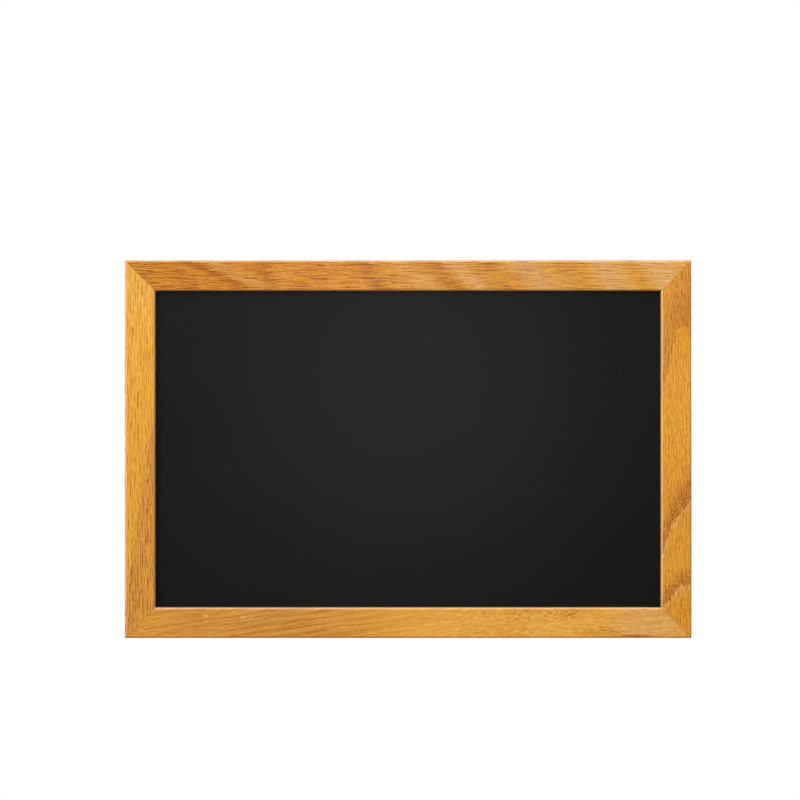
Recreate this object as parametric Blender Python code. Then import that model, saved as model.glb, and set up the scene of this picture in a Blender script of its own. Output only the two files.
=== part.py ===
"""A wall chalkboard: a mitred oak frame, a black writing panel in its rebate, and the fittings behind it.

Metres, +Z up, +X to the right as seen from the front, which faces -Y. The origin is on the wall, behind the
middle of the board. Left and right are as seen from the front.
"""

import math

import bmesh
import bpy
from mathutils import Matrix, Vector

# Board outline and frame moulding
BOARD_WIDTH = 0.600
BOARD_HEIGHT = 0.400
FRAME_FACE = 0.0325
LIP_THICKNESS = 0.006
REBATE_WIDTH = 0.008
FRONT_ARRIS = 0.0025
BACK_ARRIS = 0.001
MITRE_GLUE_LINE = 0.0001

# Boards in the rebate, from the front to the back
WRITING_PANEL_THICKNESS = 0.003
CORE_BOARD_THICKNESS = 0.006
BACKING_BOARD_THICKNESS = 0.003
BOARD_EDGE_CLEARANCE = 0.0008
BOARD_ARRIS = 0.0003

# Gap between a piece and what it is seated on
SEAT_GAP = 0.0003

# Bent steel nails across the back of each mitre
V_NAIL_LEG = 0.0055
V_NAIL_THICKNESS = 0.0006
V_NAIL_DEPTH = 0.010
V_NAIL_SLOT_CLEARANCE = 0.0002
V_NAIL_HALF_ANGLE = 55
V_NAIL_OUTER_MARGIN = 0.006
V_NAIL_INNER_MARGIN = 0.0025

# Pan-head wood screws, one size for every fitting
SCREW_LENGTH = 0.012
SCREW_SHANK_RADIUS = 0.00175
SCREW_TIP_LENGTH = 0.003
SCREW_HEAD_OVERHANG = 0.00165
SCREW_HEAD_RIM = 0.0007
SCREW_HEAD_DOME = 0.0013
SCREW_HOLE_CLEARANCE = 0.0003
CROSS_ARM_LENGTH = 0.0018
CROSS_ARM_WIDTH = 0.0008
CROSS_DEPTH = 0.0011
SCREW_TURN_STEP = 37

# Turn buttons that hold the boards in the rebate
TURN_BUTTON_BITE = 0.012
TURN_BUTTON_THICKNESS = 0.0012
TURN_BUTTON_PIVOT_RADIUS = 0.006
TURN_BUTTON_TIP_RADIUS = 0.0045
TURN_BUTTON_ARRIS = 0.0003
RAIL_BUTTON_SHARES = {"left": -0.25, "right": 0.25}
STILE_BUTTON_SHARES = {"upper": 0.12, "lower": -0.12}

# D-ring hangers
STRAP_WIDTH = 0.013
STRAP_THICKNESS = 0.001
STRAP_END_RADIUS = 0.005
STRAP_END_LENGTH = 0.006
HANGER_SCREW_PITCH = 0.012
RING_SCREW_CLEARANCE = 0.0015
RING_WIRE_RADIUS = 0.0011
RING_SIDE_LENGTH = 0.0035
RING_BEND_RADIUS = 0.001
RING_PIVOT_CLEARANCE = 0.00025
RING_SIDE_CLEARANCE = 0.001
KNUCKLE_SEAM = 0.00035
HANGER_HEIGHT_SHARE = 0.345

# Rubber bumpers that stand the board off the wall
BUMPER_THICKNESS = 0.005
BUMPER_RADIUS = 0.00635
BUMPER_TAPER = 0.001
BUMPER_ARRIS = 0.0006
BUMPER_RISE = 0.040

# How far a cut runs past the face it opens, and how close points are made one
CUT_OVERRUN = 0.001
WELD_DISTANCE = 0.000001

# Facets of round shapes
ARRIS_STEPS = 5
BACK_ARRIS_STEPS = 2
BEVEL_STEPS = 1
HOLE_STEPS = 16
SCREW_STEPS = 16
TIP_ARC_STEPS = 8
STRAP_END_STEPS = 5
KNUCKLE_STEPS = 18
RING_CORNER_STEPS = 3
RING_BOW_STEPS = 14
RING_BEVEL_RESOLUTION = 2
BUMPER_STEPS = 24
BUMPER_ARRIS_STEPS = 3
HEAD_DOME_STEPS = 4

# Sizes that follow from those above
REBATE_DEPTH = WRITING_PANEL_THICKNESS + CORE_BOARD_THICKNESS + BACKING_BOARD_THICKNESS + 3 * SEAT_GAP
FRAME_DEPTH = LIP_THICKNESS + REBATE_DEPTH
BACK_LAND = FRAME_FACE - REBATE_WIDTH
BACK_Y = -(BUMPER_THICKNESS + SEAT_GAP)
FRONT_Y = BACK_Y - FRAME_DEPTH
FITTING_LINE_X = BOARD_WIDTH / 2 - BACK_LAND / 2
FITTING_LINE_Z = BOARD_HEIGHT / 2 - BACK_LAND / 2
TURN_BUTTON_REACH = BACK_LAND / 2 + TURN_BUTTON_BITE - TURN_BUTTON_TIP_RADIUS
SCREW_HEAD_RADIUS = SCREW_SHANK_RADIUS + SCREW_HEAD_OVERHANG
SCREW_HEAD_HEIGHT = SCREW_HEAD_RIM + SCREW_HEAD_DOME
SCREW_HOLE_RADIUS = SCREW_SHANK_RADIUS + SCREW_HOLE_CLEARANCE
KNUCKLE_INNER_RADIUS = RING_WIRE_RADIUS + RING_PIVOT_CLEARANCE
KNUCKLE_OUTER_RADIUS = KNUCKLE_INNER_RADIUS + STRAP_THICKNESS
RING_CORNER_RADIUS = RING_BEND_RADIUS + RING_WIRE_RADIUS
RING_HALF_WIDTH = STRAP_WIDTH / 2 + RING_SIDE_CLEARANCE + RING_WIRE_RADIUS
RING_DROP = RING_CORNER_RADIUS + RING_SIDE_LENGTH + RING_HALF_WIDTH
FIRST_SCREW_DROP = RING_DROP + RING_WIRE_RADIUS + RING_SCREW_CLEARANCE + SCREW_HEAD_RADIUS
STRAP_LENGTH = FIRST_SCREW_DROP + HANGER_SCREW_PITCH + STRAP_END_LENGTH

# Colours as seen, 0 to 255, with roughness and metallic value
FINISHES = {
    "oak_top_rail": ((210, 143, 67), 0.45, 0.0),
    "oak_bottom_rail": ((215, 150, 67), 0.45, 0.0),
    "oak_left_stile": ((221, 155, 65), 0.45, 0.0),
    "oak_right_stile": ((212, 145, 56), 0.45, 0.0),
    "chalkboard_paint": ((34, 34, 34), 0.75, 0.0),
    "fibreboard": ((168, 134, 94), 0.85, 0.0),
    "hardboard": ((112, 78, 50), 0.7, 0.0),
    "zinc_steel": ((182, 184, 186), 0.35, 1.0),
    "nail_steel": ((120, 120, 122), 0.45, 1.0),
    "rubber": ((40, 40, 42), 0.8, 0.0),
}


def linear(level):
    """A screen level from 0 to 255 as linear light."""
    share = level / 255
    return share / 12.92 if share <= 0.04045 else ((share + 0.055) / 1.055) ** 2.4


def make_materials():
    """One plain material for each finish, by name."""
    materials = {}
    for name, (colour, roughness, metallic) in FINISHES.items():
        material = bpy.data.materials.new(name)
        material.use_nodes = True
        shader = material.node_tree.nodes["Principled BSDF"]
        shader.inputs["Base Color"].default_value = (*(linear(level) for level in colour), 1.0)
        shader.inputs["Roughness"].default_value = roughness
        shader.inputs["Metallic"].default_value = metallic
        materials[name] = material
    return materials


# Helpers for points and meshes


def arc(centre, radius, start, end, steps):
    """Points along an arc in a plane, both ends included. Angles are in degrees."""
    angles = [math.radians(start + (end - start) * step / steps) for step in range(steps + 1)]
    return [(centre[0] + radius * math.cos(a), centre[1] + radius * math.sin(a)) for a in angles]


def prism(points, offset):
    """A closed solid: the face through these points, carried along offset."""
    solid = bmesh.new()
    face = solid.faces.new([solid.verts.new(point) for point in points])
    carried = bmesh.ops.extrude_face_region(solid, geom=[face])["geom"]
    moved = [item for item in carried if isinstance(item, bmesh.types.BMVert)]
    bmesh.ops.translate(solid, vec=offset, verts=moved)
    bmesh.ops.recalc_face_normals(solid, faces=solid.faces)
    return solid


def turned(profile, steps):
    """A solid turned about Z from a profile of radius and height that starts and ends on the axis."""
    solid = bmesh.new()
    points = [solid.verts.new((radius, 0, height)) for radius, height in profile]
    edges = [solid.edges.new(pair) for pair in zip(points, points[1:])]
    bmesh.ops.spin(
        solid, geom=points + edges, cent=(0, 0, 0), axis=(0, 0, 1), angle=math.tau, steps=steps, use_merge=True
    )
    bmesh.ops.remove_doubles(solid, verts=solid.verts, dist=WELD_DISTANCE)
    bmesh.ops.recalc_face_normals(solid, faces=solid.faces)
    return solid


def joined(solids):
    """Several solids as the separate shells of one."""
    whole = bmesh.new()
    for solid in solids:
        part = bpy.data.meshes.new("shell")
        solid.to_mesh(part)
        solid.free()
        whole.from_mesh(part)
        bpy.data.meshes.remove(part)
    return whole


def add_object(name, solid, material=None):
    """A new object with this solid as its mesh."""
    mesh = bpy.data.meshes.new(name)
    solid.to_mesh(mesh)
    solid.free()
    return add_copy(name, mesh, material)


def add_copy(name, mesh, material=None):
    """A new object that uses this mesh, smooth on its round faces."""
    mesh.shade_smooth()
    mesh.set_sharp_from_angle(angle=math.radians(35))
    if material and not mesh.materials:
        mesh.materials.append(material)
    item = bpy.data.objects.new(name, mesh)
    bpy.context.scene.collection.objects.link(item)
    return item


def cut(item, cutter):
    """Cuts the cutter's shells out of the item, and keeps the cutter out of sight."""
    boolean = item.modifiers.new("cut", "BOOLEAN")
    boolean.operation = "DIFFERENCE"
    boolean.object = cutter
    cutter.hide_render = True
    cutter.display_type = "WIRE"


def cut_mesh(name, solid, cutter_solid):
    """The mesh of a solid with another cut out of it, for pieces that share it."""
    item = add_object(name, solid)
    cutter = add_object(name + "_cutter", cutter_solid)
    cut(item, cutter)
    graph = bpy.context.evaluated_depsgraph_get()
    mesh = bpy.data.meshes.new_from_object(item.evaluated_get(graph))
    mesh.name = name
    for helper in (item, cutter):
        bpy.data.objects.remove(helper)
    return mesh


# Places on the back of the frame


def add_back_plane():
    """An empty on the frame's rear face. Its Z points out of the back and its Y points up."""
    plane = bpy.data.objects.new("frame_back_plane", None)
    bpy.context.scene.collection.objects.link(plane)
    plane.location = (0, BACK_Y, 0)
    plane.rotation_euler = (math.pi / 2, 0, math.pi)
    return plane


def put_on_back(item, plane, x, z, lift=0.0, turn=0.0):
    """Places an item on the back by the board's own x and z, lifted off it and turned about the plane's Z."""
    item.parent = plane
    item.location = (-x, z, lift)
    item.rotation_euler = (0, 0, turn)


def button_places():
    """Each turn button's name, its screw's x and z, and the way it points when closed."""
    places = []
    for rail, side in (("top", 1), ("bottom", -1)):
        for end, share in RAIL_BUTTON_SHARES.items():
            places.append((f"{rail}_{end}", share * BOARD_WIDTH, side * FITTING_LINE_Z, (0, -side)))
    for stile, side in (("left", -1), ("right", 1)):
        for end, share in STILE_BUTTON_SHARES.items():
            places.append((f"{stile}_{end}", side * FITTING_LINE_X, share * BOARD_HEIGHT, (-side, 0)))
    return places


def hanger_places():
    """Each hanger's name and the x and z of its ring's pivot."""
    height = HANGER_HEIGHT_SHARE * BOARD_HEIGHT
    return [("left", -FITTING_LINE_X, height), ("right", FITTING_LINE_X, height)]


def hanger_screw_drops():
    """How far below the ring's pivot each screw of a hanger is."""
    return {"upper": FIRST_SCREW_DROP, "lower": FIRST_SCREW_DROP + HANGER_SCREW_PITCH}


def screw_places():
    """Each screw's name, x and z, and how thick the fitting under its head is."""
    places = [(f"turn_button_screw_{name}", x, z, TURN_BUTTON_THICKNESS) for name, x, z, _ in button_places()]
    for name, x, z in hanger_places():
        for end, drop in hanger_screw_drops().items():
            places.append((f"hanger_screw_{name}_{end}", x, z - drop, STRAP_THICKNESS))
    return places


def v_nail_places():
    """Each bent nail's name, the x and z of its bend, and the way from there to the middle of the frame."""
    insets = {"outer": V_NAIL_OUTER_MARGIN, "inner": BACK_LAND - V_NAIL_INNER_MARGIN - V_NAIL_LEG}
    places = []
    for rail, up in (("top", 1), ("bottom", -1)):
        for stile, across in (("left", -1), ("right", 1)):
            for end, inset in insets.items():
                x = across * (BOARD_WIDTH / 2 - inset)
                z = up * (BOARD_HEIGHT / 2 - inset)
                places.append((f"v_nail_{rail}_{stile}_{end}", x, z, (-across, -up)))
    return places


def heading(direction):
    """The turn about the back plane's Z that points an item's X this way, given in the board's x and z."""
    return math.atan2(direction[1], -direction[0])


# Frame


def moulding_section():
    """The moulding's outline: across the face from its outer edge, and back from its front."""
    front_inner = (FRAME_FACE - FRONT_ARRIS, FRONT_ARRIS)
    back_outer = (BACK_ARRIS, FRAME_DEPTH - BACK_ARRIS)
    return [
        *arc((FRONT_ARRIS, FRONT_ARRIS), FRONT_ARRIS, 180, 270, ARRIS_STEPS),
        *arc(front_inner, FRONT_ARRIS, 270, 360, ARRIS_STEPS),
        (FRAME_FACE, LIP_THICKNESS),
        (BACK_LAND, LIP_THICKNESS),
        (BACK_LAND, FRAME_DEPTH),
        *arc(back_outer, BACK_ARRIS, 90, 180, BACK_ARRIS_STEPS),
    ]


def add_member(name, material, length, edge, turn, fixings):
    """A length of moulding, mitred at both ends. Its outer edge is at edge, and turn points its inner side."""
    half_length = length / 2 - MITRE_GLUE_LINE / math.sqrt(2)
    end = [(across - half_length, FRONT_Y + depth, across) for across, depth in moulding_section()]
    solid = prism(end, Vector((length, 0, 0)))
    for vertex in solid.verts:
        vertex.co.x = math.copysign(half_length - vertex.co.z, vertex.co.x)
    member = add_object(name, solid, material)
    member.location = edge
    member.rotation_euler = (0, turn, 0)
    cut(member, fixings)
    normals = member.modifiers.new("flat_faces_stay_flat", "WEIGHTED_NORMAL")
    normals.keep_sharp = True


def add_frame(materials, fixings):
    """Two rails and two stiles, joined at 45 degrees."""
    top = (0, 0, BOARD_HEIGHT / 2)
    bottom = (0, 0, -BOARD_HEIGHT / 2)
    left = (-BOARD_WIDTH / 2, 0, 0)
    right = (BOARD_WIDTH / 2, 0, 0)
    add_member("frame_top_rail", materials["oak_top_rail"], BOARD_WIDTH, top, math.pi, fixings)
    add_member("frame_bottom_rail", materials["oak_bottom_rail"], BOARD_WIDTH, bottom, 0, fixings)
    add_member("frame_left_stile", materials["oak_left_stile"], BOARD_HEIGHT, left, math.pi / 2, fixings)
    add_member("frame_right_stile", materials["oak_right_stile"], BOARD_HEIGHT, right, -math.pi / 2, fixings)


def add_fixings_cutter(plane):
    """The screw holes and nail slots that the frame's members share, as one cutter on the back plane."""
    shells = []
    for _, x, z, _ in screw_places():
        hole = round_hole(-SCREW_LENGTH, CUT_OVERRUN)
        bmesh.ops.translate(hole, vec=(-x, z, 0), verts=hole.verts)
        shells.append(hole)
    for _, x, z, inward in v_nail_places():
        shells.append(v_nail_solid(x, z, inward, V_NAIL_SLOT_CLEARANCE, CUT_OVERRUN))
    cutter = add_object("fixing_holes", joined(shells))
    put_on_back(cutter, plane, 0, 0)
    return cutter


def v_nail_solid(x, z, inward, clearance, top):
    """A bent strip on the back plane, grown by clearance all round, from its foot up to top."""
    half_angle = math.radians(V_NAIL_HALF_ANGLE)
    half_thickness = V_NAIL_THICKNESS / 2 + clearance
    along = Vector((math.cos(half_angle), math.sin(half_angle)))
    across = Vector((-along.y, along.x))
    leg_end = along * (V_NAIL_LEG + clearance)
    bend = Vector((half_thickness / math.sin(half_angle), 0))
    upper = [-bend, leg_end + across * half_thickness, leg_end - across * half_thickness, bend]
    lower = [Vector((point.x, -point.y)) for point in (upper[2], upper[1])]
    foot = -(SEAT_GAP + V_NAIL_DEPTH + clearance)
    solid = prism([(*point, foot) for point in upper + lower], Vector((0, 0, top - foot)))
    turn = Matrix.Rotation(heading(inward), 3, "Z")
    bmesh.ops.rotate(solid, cent=(0, 0, 0), matrix=turn, verts=solid.verts)
    bmesh.ops.translate(solid, vec=(-x, z, 0), verts=solid.verts)
    return solid


def add_v_nails(plane, material):
    """Two bent nails in each mitre, driven just below the rear face."""
    for name, x, z, inward in v_nail_places():
        nail = add_object(name, v_nail_solid(x, z, inward, 0, -SEAT_GAP), material)
        put_on_back(nail, plane, 0, 0)


# Boards in the rebate


def add_board(name, material, front, thickness):
    """A flat board that fills the rebate side to side, its front face this far behind the frame's front."""
    width = BOARD_WIDTH - 2 * (BACK_LAND + BOARD_EDGE_CLEARANCE)
    height = BOARD_HEIGHT - 2 * (BACK_LAND + BOARD_EDGE_CLEARANCE)
    corners = [(-width / 2, 0, -height / 2), (width / 2, 0, -height / 2), (width / 2, 0, height / 2)]
    corners.append((-width / 2, 0, height / 2))
    board = add_object(name, prism(corners, Vector((0, thickness, 0))), material)
    board.location = (0, FRONT_Y + front, 0)
    bevel = board.modifiers.new("arris", "BEVEL")
    bevel.width = BOARD_ARRIS
    bevel.segments = BEVEL_STEPS
    return front + thickness + SEAT_GAP


def add_boards(materials):
    """The writing panel against the lip, a core behind it and the backing that closes the rebate."""
    front = LIP_THICKNESS + SEAT_GAP
    front = add_board("writing_panel", materials["chalkboard_paint"], front, WRITING_PANEL_THICKNESS)
    front = add_board("core_board", materials["fibreboard"], front, CORE_BOARD_THICKNESS)
    add_board("backing_board", materials["hardboard"], front, BACKING_BOARD_THICKNESS)


# Screws


def screw_profile():
    """Half of a pan-head screw's outline, from its point to the top of its head. Its head's seat is at zero."""
    dome = [
        (SCREW_HEAD_RADIUS * math.cos(a), SCREW_HEAD_RIM + SCREW_HEAD_DOME * math.sin(a))
        for a in (math.pi / 2 * step / HEAD_DOME_STEPS for step in range(HEAD_DOME_STEPS))
    ]
    return [
        (0, -SCREW_LENGTH + SEAT_GAP),
        (SCREW_SHANK_RADIUS, -SCREW_LENGTH + SEAT_GAP + SCREW_TIP_LENGTH),
        (SCREW_SHANK_RADIUS, 0),
        (SCREW_HEAD_RADIUS, 0),
        *dome,
        (0, SCREW_HEAD_HEIGHT),
    ]


def cross_recess():
    """A cross-shaped cutter that reaches into the top of a screw's head."""
    foot = SCREW_HEAD_HEIGHT - CROSS_DEPTH
    wide = CROSS_ARM_WIDTH / 2
    quarter = [(wide, -wide), (CROSS_ARM_LENGTH, -wide), (CROSS_ARM_LENGTH, wide)]
    outline = []
    for _ in range(4):
        outline += [(x, y, foot) for x, y in quarter]
        quarter = [(-y, x) for x, y in quarter]
    return prism(outline, Vector((0, 0, CROSS_DEPTH + CUT_OVERRUN)))


def add_screws(plane, material):
    """Every screw on the back, each turned its own way."""
    mesh = cut_mesh("pan_head_screw", turned(screw_profile(), SCREW_STEPS), cross_recess())
    for number, (name, x, z, fitting) in enumerate(screw_places()):
        screw = add_copy(name, mesh, material)
        turn = math.radians(number * SCREW_TURN_STEP)
        put_on_back(screw, plane, x, z, lift=SEAT_GAP + fitting + SEAT_GAP, turn=turn)


def round_hole(foot, top):
    """A cutter for a screw's hole, about Z, between two heights."""
    return turned([(0, foot), (SCREW_HOLE_RADIUS, foot), (SCREW_HOLE_RADIUS, top), (0, top)], HOLE_STEPS)


# Turn buttons


def turn_button_outline():
    """A tapered plate: a large round end about the pivot and a smaller one at its reach."""
    side = math.degrees(math.acos((TURN_BUTTON_PIVOT_RADIUS - TURN_BUTTON_TIP_RADIUS) / TURN_BUTTON_REACH))
    tip = arc((TURN_BUTTON_REACH, 0), TURN_BUTTON_TIP_RADIUS, -side, side, TIP_ARC_STEPS)
    heel = arc((0, 0), TURN_BUTTON_PIVOT_RADIUS, side, 360 - side, TIP_ARC_STEPS)
    return tip + heel


def turn_button_mesh():
    """The plate with its rim eased and its screw hole cut, its pivot at the origin."""
    solid = prism([(x, y, 0) for x, y in turn_button_outline()], Vector((0, 0, TURN_BUTTON_THICKNESS)))
    rim = [edge for edge in solid.edges if abs(edge.verts[0].co.z - edge.verts[1].co.z) < WELD_DISTANCE]
    bmesh.ops.bevel(solid, geom=rim, offset=TURN_BUTTON_ARRIS, segments=BEVEL_STEPS, affect="EDGES")
    return cut_mesh("turn_button", solid, round_hole(-CUT_OVERRUN, TURN_BUTTON_THICKNESS + CUT_OVERRUN))


def add_turn_buttons(plane, material):
    """Every turn button, closed over the backing board. Its origin is on the axis that it turns about."""
    mesh = turn_button_mesh()
    for name, x, z, inward in button_places():
        button = add_copy(f"turn_button_{name}", mesh, material)
        put_on_back(button, plane, x, z, lift=SEAT_GAP, turn=heading(inward))


# Hangers


def strap_profile():
    """The strap's side: up its back, round the ring's bar and down its front, as height and lift."""
    centre = (0, KNUCKLE_OUTER_RADIUS)
    seam_share = (STRAP_THICKNESS + KNUCKLE_SEAM) / KNUCKLE_OUTER_RADIUS
    end = 180 + math.degrees(math.asin(1 - seam_share))
    outer = arc(centre, KNUCKLE_OUTER_RADIUS, -90, end, KNUCKLE_STEPS)
    inner = arc(centre, KNUCKLE_INNER_RADIUS, end, -90, KNUCKLE_STEPS)
    return [(-STRAP_LENGTH, 0), *outer, *inner, (-STRAP_LENGTH, STRAP_THICKNESS)]


def strap_mesh():
    """The strap with its foot rounded and its screw holes cut. The ring's pivot is above its origin."""
    side = [(-STRAP_WIDTH / 2, height, lift) for height, lift in strap_profile()]
    solid = prism(side, Vector((STRAP_WIDTH, 0, 0)))
    corners = [
        edge
        for edge in solid.edges
        if all(abs(vertex.co.y + STRAP_LENGTH) < WELD_DISTANCE for vertex in edge.verts)
        and abs(edge.verts[0].co.x - edge.verts[1].co.x) < WELD_DISTANCE
    ]
    bmesh.ops.bevel(
        solid, geom=corners, offset=STRAP_END_RADIUS, segments=STRAP_END_STEPS, profile=0.5, affect="EDGES"
    )
    holes = []
    for drop in hanger_screw_drops().values():
        hole = round_hole(-CUT_OVERRUN, STRAP_THICKNESS + CUT_OVERRUN)
        bmesh.ops.translate(hole, vec=(0, -drop, 0), verts=hole.verts)
        holes.append(hole)
    return cut_mesh("hanger_strap", solid, joined(holes))


def ring_points():
    """The D-ring's centreline: its bar along X at the origin, and its bow hanging below."""
    corner_x = RING_HALF_WIDTH - RING_CORNER_RADIUS
    bow_centre = (0, RING_HALF_WIDTH - RING_DROP)
    right_corner = arc((corner_x, -RING_CORNER_RADIUS), RING_CORNER_RADIUS, 90, 0, RING_CORNER_STEPS)
    bow = arc(bow_centre, RING_HALF_WIDTH, 0, -180, RING_BOW_STEPS)
    left_corner = arc((-corner_x, -RING_CORNER_RADIUS), RING_CORNER_RADIUS, 180, 90, RING_CORNER_STEPS)
    return right_corner + bow + left_corner


def add_ring(name, material):
    """A D-ring of round wire. Its origin is on its bar, which it swings about."""
    curve = bpy.data.curves.new(name, "CURVE")
    curve.dimensions = "3D"
    curve.bevel_depth = RING_WIRE_RADIUS
    curve.bevel_resolution = RING_BEVEL_RESOLUTION
    points = ring_points()
    spline = curve.splines.new("POLY")
    spline.points.add(len(points) - 1)
    for point, (x, y) in zip(spline.points, points):
        point.co = (x, y, 0, 1)
    spline.use_cyclic_u = True
    curve.materials.append(material)
    ring = bpy.data.objects.new(name, curve)
    bpy.context.scene.collection.objects.link(ring)
    return ring


def add_hangers(plane, material):
    """A strap on each stile, with its ring hanging down over it."""
    mesh = strap_mesh()
    for name, x, z in hanger_places():
        strap = add_copy(f"hanger_strap_{name}", mesh, material)
        put_on_back(strap, plane, x, z, lift=SEAT_GAP)
        ring = add_ring(f"hanger_ring_{name}", material)
        put_on_back(ring, plane, x, z, lift=SEAT_GAP + KNUCKLE_OUTER_RADIUS)


# Bumpers


def add_bumpers(plane, material):
    """A tapered rubber foot near the bottom of each stile. Their flat faces lie on the wall."""
    face_edge = (BUMPER_RADIUS - BUMPER_TAPER - BUMPER_ARRIS, BUMPER_THICKNESS - BUMPER_ARRIS)
    profile = [
        (0, 0),
        (BUMPER_RADIUS, 0),
        *arc(face_edge, BUMPER_ARRIS, 0, 90, BUMPER_ARRIS_STEPS),
        (0, BUMPER_THICKNESS),
    ]
    height = BUMPER_RISE - BOARD_HEIGHT / 2
    for name, side in (("left", -1), ("right", 1)):
        bumper = add_object(f"wall_bumper_{name}", turned(profile, BUMPER_STEPS), material)
        put_on_back(bumper, plane, side * FITTING_LINE_X, height, lift=SEAT_GAP)


def main():
    for item in list(bpy.data.objects):
        bpy.data.objects.remove(item)
    materials = make_materials()
    plane = add_back_plane()
    add_frame(materials, add_fixings_cutter(plane))
    add_boards(materials)
    add_v_nails(plane, materials["nail_steel"])
    add_turn_buttons(plane, materials["zinc_steel"])
    add_hangers(plane, materials["zinc_steel"])
    add_screws(plane, materials["zinc_steel"])
    add_bumpers(plane, materials["rubber"])


main()
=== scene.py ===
"""The wall chalkboard's looks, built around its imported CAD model.

Metres, +Z up, +X to the right as seen from the front, which faces -Y. The wall is the plane y = 0.
Textures work in millimetres. Left and right are as seen from the front.
"""

import math

import bmesh
import bpy
from mathutils import Matrix, Vector


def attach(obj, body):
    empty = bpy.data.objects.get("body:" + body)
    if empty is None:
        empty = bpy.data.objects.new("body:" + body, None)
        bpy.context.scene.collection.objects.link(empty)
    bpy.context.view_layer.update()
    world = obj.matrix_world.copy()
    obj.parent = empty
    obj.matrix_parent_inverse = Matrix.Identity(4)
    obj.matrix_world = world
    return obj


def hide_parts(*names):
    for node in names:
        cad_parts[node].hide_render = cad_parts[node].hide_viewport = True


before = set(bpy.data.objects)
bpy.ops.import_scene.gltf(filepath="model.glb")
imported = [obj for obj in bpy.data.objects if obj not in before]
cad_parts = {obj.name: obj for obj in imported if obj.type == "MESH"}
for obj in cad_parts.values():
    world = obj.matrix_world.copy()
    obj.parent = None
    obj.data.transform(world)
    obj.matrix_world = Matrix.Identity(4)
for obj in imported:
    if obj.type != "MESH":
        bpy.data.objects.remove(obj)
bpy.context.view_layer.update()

# Board and frame moulding, as the CAD has them
BOARD_WIDTH = 0.600
BOARD_HEIGHT = 0.400
FRAME_FACE = 0.0325
FRAME_DEPTH = 0.0189
LIP_THICKNESS = 0.006
BACK_LAND = 0.0245
FRONT_ARRIS = 0.0025
BACK_ARRIS = 0.001
SIGHT_EDGE_ARRIS = 0.0003
MITRE_GLUE_LINE = 0.0001
MITRE_ARRIS = 0.00006
BACK_Y = -0.0053
FRONT_Y = BACK_Y - FRAME_DEPTH
FITTING_LINE_X = BOARD_WIDTH / 2 - BACK_LAND / 2
FITTING_LINE_Z = BOARD_HEIGHT / 2 - BACK_LAND / 2
SEAT_GAP = 0.0003

# Bent nails across the mitres
V_NAIL_LEG = 0.0055
V_NAIL_THICKNESS = 0.0006
V_NAIL_DEPTH = 0.010
V_NAIL_SLOT_CLEARANCE = 0.0002
V_NAIL_HALF_ANGLE = 55
V_NAIL_INSETS = {"outer": 0.006, "inner": 0.0165}
V_NAIL_ARRIS = 0.00008

# Pan-head screws
SCREW_LENGTH = 0.012
SCREW_SHANK_RADIUS = 0.00175
SCREW_TIP_LENGTH = 0.003
SCREW_HEAD_RADIUS = 0.0034
SCREW_HEAD_RIM = 0.0007
SCREW_HEAD_HEIGHT = 0.002
SCREW_HEAD_SEAT_ARRIS = 0.00012
SCREW_HOLE_RADIUS = 0.00205
CROSS_ARM_LENGTH = 0.0018
CROSS_ARM_WIDTH = 0.0008
CROSS_DEPTH = 0.0011
CROSS_FOOT_LENGTH_SHARE = 0.45
CROSS_FOOT_WIDTH_SHARE = 0.8
CROSS_ARRIS = 0.00007
SCREW_TURN_STEP = 37

# Turn buttons
TURN_BUTTON_THICKNESS = 0.0012
TURN_BUTTON_PIVOT_RADIUS = 0.006
TURN_BUTTON_TIP_RADIUS = 0.0045
TURN_BUTTON_REACH = 0.01975
TURN_BUTTON_ARRIS = 0.0003
RAIL_BUTTON_X = {"left": -0.150, "right": 0.150}
STILE_BUTTON_Z = {"upper": 0.048, "lower": -0.048}

# D-ring hangers
STRAP_WIDTH = 0.013
STRAP_THICKNESS = 0.001
STRAP_LENGTH = 0.0382
STRAP_END_RADIUS = 0.005
STRAP_ARRIS = 0.00018
KNUCKLE_INNER_RADIUS = 0.00135
KNUCKLE_OUTER_RADIUS = 0.00235
KNUCKLE_SEAM = 0.00035
HANGER_Z = 0.138
HANGER_SCREW_DROPS = {"upper": 0.0202, "lower": 0.0322}
RING_WIRE_RADIUS = 0.0011
RING_CORNER_RADIUS = 0.0021
RING_HALF_WIDTH = 0.0086
RING_DROP = 0.0142

# Bumpers
BUMPER_THICKNESS = 0.005
BUMPER_RADIUS = 0.00635
BUMPER_TAPER = 0.001
BUMPER_ARRIS = 0.0006
BUMPER_FOOT_ARRIS = 0.0002
BUMPER_DISH_RADIUS = 0.0022
BUMPER_DISH_FLOOR_RADIUS = 0.0019
BUMPER_DISH_DEPTH = 0.0006
BUMPER_Z = -0.160

# Points nearer than this are one
WELD_DISTANCE = 0.000001

# How far cutters reach past what they cut
CUTTER_OVERRUN = 0.001
PLATE_HOLE_TOP = 0.003
RECESS_OVERRUN = 0.0003

# The angles in degrees above which an edge is eased, and is sharp
BEVEL_ANGLE = 40
SMOOTH_ANGLE = 30
RING_SMOOTH_ANGLE = 60

# Carries what is made about the origin, with Z out of the back, to the frame's rear face
TO_BACK = Matrix(((-1, 0, 0, 0), (0, 0, 1, BACK_Y), (0, 1, 0, 0), (0, 0, 0, 1)))

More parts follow.
